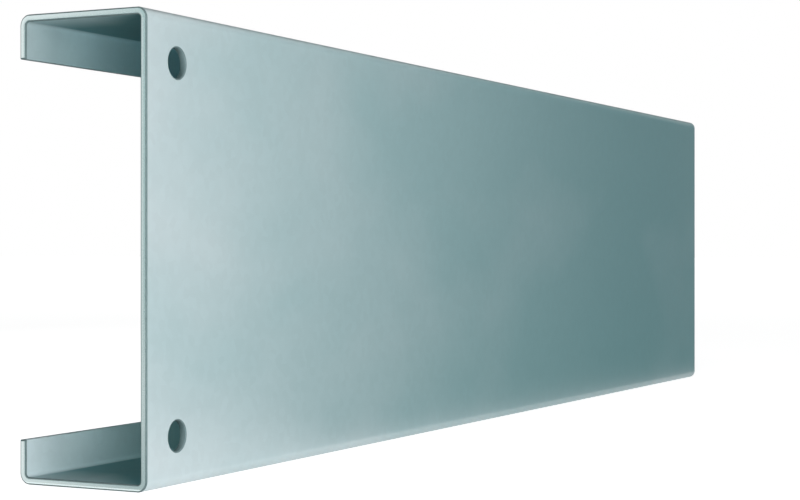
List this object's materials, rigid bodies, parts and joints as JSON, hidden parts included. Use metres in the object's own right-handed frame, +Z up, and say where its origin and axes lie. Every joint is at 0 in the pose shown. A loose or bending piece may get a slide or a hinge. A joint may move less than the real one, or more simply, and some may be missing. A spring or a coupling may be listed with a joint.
{
  "type": "lipped c-channel",
  "caption": "Length of cold-formed galvanised steel C-section with inward lips, and bolt holes through the web near one end.",
  "frame": {"origin": "middle of the footprint, on the surface that the lower flange rests on", "axes": "+Y along the length, away from the punched end; +X from the open, lipped side to the web; +Z up the depth of the web"},
  "size_m": [0.065, 0.75, 0.2],
  "materials": {
    "galvanised_steel": "galvanised strip, satin, cool grey with a green-blue cast"
  },
  "bodies": {
    "root": {"c_channel": "galvanised_steel"}
  },
  "joints": []
}
